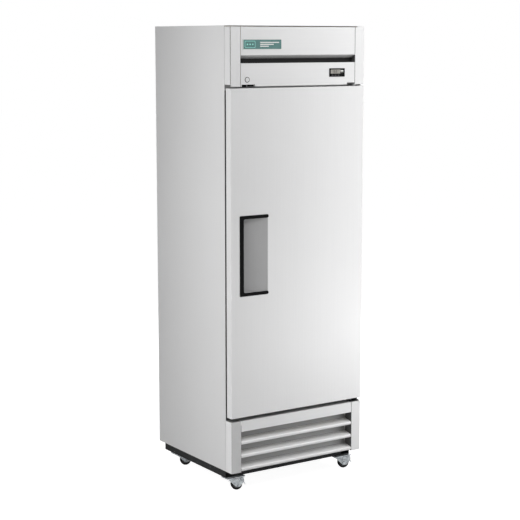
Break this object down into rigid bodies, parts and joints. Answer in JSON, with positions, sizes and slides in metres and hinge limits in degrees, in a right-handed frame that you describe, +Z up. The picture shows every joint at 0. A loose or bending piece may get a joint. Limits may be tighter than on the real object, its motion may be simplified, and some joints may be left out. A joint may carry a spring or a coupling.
{
  "type": "reach in refrigerator",
  "caption": "Upright commercial refrigerator with one insulated hinged door, a recessed pull handle, a header with controller and lock, a louvred base and swivel casters.",
  "frame": {"origin": "on the floor, under the middle of the cabinet's overall footprint", "axes": "+X to the right seen from the front, +Y towards the back, +Z up; the door faces -Y"},
  "size_m": [0.686, 0.623, 1.988],
  "materials": {
    "brushed_stainless": "satin",
    "side_aluminium": "satin",
    "galvanised_steel": "satin",
    "dark_paint": "satin",
    "liner_aluminium": "satin",
    "insulation": "matte",
    "grey_plastic": "matte",
    "black_plastic": "satin",
    "key_plastic": "satin",
    "white_plastic": "matte",
    "lamp_lens": "gloss",
    "badge_teal": "gloss",
    "gasket_rubber": "matte",
    "pocket_steel": "satin",
    "zinc_steel": "satin",
    "chrome_steel": "polished",
    "shelf_coating": "satin",
    "copper": "satin",
    "tyre_black": "matte",
    "coil_aluminium": "satin"
  },
  "bodies": {
    "cabinet": {"base_frame": "dark_paint", "base_pan": "galvanised_steel", "left_side_panel": "side_aluminium", "right_side_panel": "side_aluminium", "back_panel": "galvanised_steel", "top_panel": "side_aluminium", "cabinet_foam": "insulation", "inner_liner": "liner_aluminium", "breaker_frame": "grey_plastic", "header_posts": "brushed_stainless", "header_upper_panel": "brushed_stainless", "header_lower_panel": "brushed_stainless", "header_slot_channel": "pocket_steel", "badge_plate": "badge_teal", "controller_housing": "black_plastic", "lock_collar": "chrome_steel", "latch_bracket": "black_plastic", "top_hinge_bracket": "dark_paint", "bottom_hinge_bracket": "dark_paint", "grille_posts": "brushed_stainless", "louvre_grille": "brushed_stainless", "mounting_screws": "zinc_steel", "shelf_standards": "liner_aluminium", "shelf_clips": "zinc_steel", "wire_shelf_1": "shelf_coating", "wire_shelf_2": "shelf_coating", "wire_shelf_3": "shelf_coating", "evaporator_cover": "liner_aluminium", "evaporator_coil": "coil_aluminium", "evaporator_fan_motor": "galvanised_steel", "interior_light": "lamp_lens", "compressor": "dark_paint", "condenser_coil": "coil_aluminium", "condenser_fan_motor": "galvanised_steel", "refrigerant_lines": "copper", "cord_gland": "black_plastic", "caster_plates": "zinc_steel"},
    "door": {"door_skin": "brushed_stainless", "door_foam": "insulation", "door_inner_panel": "liner_aluminium", "door_gasket": "gasket_rubber", "handle_pocket": "pocket_steel", "handle_trim": "black_plastic", "door_hinge_bushes": "white_plastic"},
    "lock_core": {"lock_cylinder": "chrome_steel"},
    "evaporator_fan": {"evaporator_fan_blade": "black_plastic"},
    "condenser_fan": {"condenser_fan_blade": "coil_aluminium"},
    "key_1": {"controller_key_1": "key_plastic"},
    "key_2": {"controller_key_2": "key_plastic"},
    "key_3": {"controller_key_3": "key_plastic"},
    "fork_front_left": {"caster_fork_front_left": "zinc_steel"},
    "wheel_front_left": {"caster_wheel_front_left": "tyre_black"},
    "pedal_front_left": {"brake_pedal_front_left": "zinc_steel"},
    "fork_front_right": {"caster_fork_front_right": "zinc_steel"},
    "wheel_front_right": {"caster_wheel_front_right": "tyre_black"},
    "pedal_front_right": {"brake_pedal_front_right": "zinc_steel"},
    "fork_rear_left": {"caster_fork_rear_left": "zinc_steel"},
    "wheel_rear_left": {"caster_wheel_rear_left": "tyre_black"},
    "fork_rear_right": {"caster_fork_rear_right": "zinc_steel"},
    "wheel_rear_right": {"caster_wheel_rear_right": "tyre_black"}
  },
  "joints": [
    {"name": "door_hinge", "type": "hinge", "parent": "cabinet", "child": "door", "pos_m": [0.329, -0.2875, 1.035], "axis": [0, 0, 1], "range_deg": [0, 120]},
    {"name": "lock_turn", "type": "hinge", "parent": "cabinet", "child": "lock_core", "pos_m": [-0.262, -0.3, 1.767], "axis": [0, 1, 0], "range_deg": [0, 90]},
    {"name": "evaporator_fan_spin", "type": "hinge", "parent": "cabinet", "child": "evaporator_fan", "pos_m": [0, -0.09, 1.745], "axis": [0, 0, 1], "continuous": true},
    {"name": "condenser_fan_spin", "type": "hinge", "parent": "cabinet", "child": "condenser_fan", "pos_m": [0.06, -0.168, 0.205], "axis": [0, 1, 0], "continuous": true},
    {"name": "key_1_press", "type": "slide", "parent": "cabinet", "child": "key_1", "axis": [0, 1, 0], "range_m": [0, 0.0008], "stiffness_N_per_m": 300},
    {"name": "key_2_press", "type": "slide", "parent": "cabinet", "child": "key_2", "axis": [0, 1, 0], "range_m": [0, 0.0008], "stiffness_N_per_m": 300},
    {"name": "key_3_press", "type": "slide", "parent": "cabinet", "child": "key_3", "axis": [0, 1, 0], "range_m": [0, 0.0008], "stiffness_N_per_m": 300},
    {"name": "swivel_front_left", "type": "hinge", "parent": "cabinet", "child": "fork_front_left", "pos_m": [-0.289, -0.236, 0.0535], "axis": [0, 0, 1], "continuous": true},
    {"name": "roll_front_left", "type": "hinge", "parent": "fork_front_left", "child": "wheel_front_left", "pos_m": [-0.27584, -0.24079, 0.025], "axis": [0.342, 0.9397, 0], "continuous": true},
    {"name": "brake_front_left", "type": "hinge", "parent": "fork_front_left", "child": "pedal_front_left", "pos_m": [-0.25141, -0.24968, 0.042], "axis": [0.342, 0.9397, 0], "range_deg": [0, 18]},
    {"name": "swivel_front_right", "type": "hinge", "parent": "cabinet", "child": "fork_front_right", "pos_m": [0.289, -0.236, 0.0535], "axis": [0, 0, 1], "continuous": true},
    {"name": "roll_front_right", "type": "hinge", "parent": "fork_front_right", "child": "wheel_front_right", "pos_m": [0.30216, -0.24079, 0.025], "axis": [0.342, 0.9397, 0], "continuous": true},
    {"name": "brake_front_right", "type": "hinge", "parent": "fork_front_right", "child": "pedal_front_right", "pos_m": [0.32659, -0.24968, 0.042], "axis": [0.342, 0.9397, 0], "range_deg": [0, 18]},
    {"name": "swivel_rear_left", "type": "hinge", "parent": "cabinet", "child": "fork_rear_left", "pos_m": [-0.289, 0.198, 0.0535], "axis": [0, 0, 1], "continuous": true},
    {"name": "roll_rear_left", "type": "hinge", "parent": "fork_rear_left", "child": "wheel_rear_left", "pos_m": [-0.27584, 0.19321, 0.025], "axis": [0.342, 0.9397, 0], "continuous": true},
    {"name": "swivel_rear_right", "type": "hinge", "parent": "cabinet", "child": "fork_rear_right", "pos_m": [0.289, 0.198, 0.0535], "axis": [0, 0, 1], "continuous": true},
    {"name": "roll_rear_right", "type": "hinge", "parent": "fork_rear_right", "child": "wheel_rear_right", "pos_m": [0.30216, 0.19321, 0.025], "axis": [0.342, 0.9397, 0], "continuous": true}
  ]
}
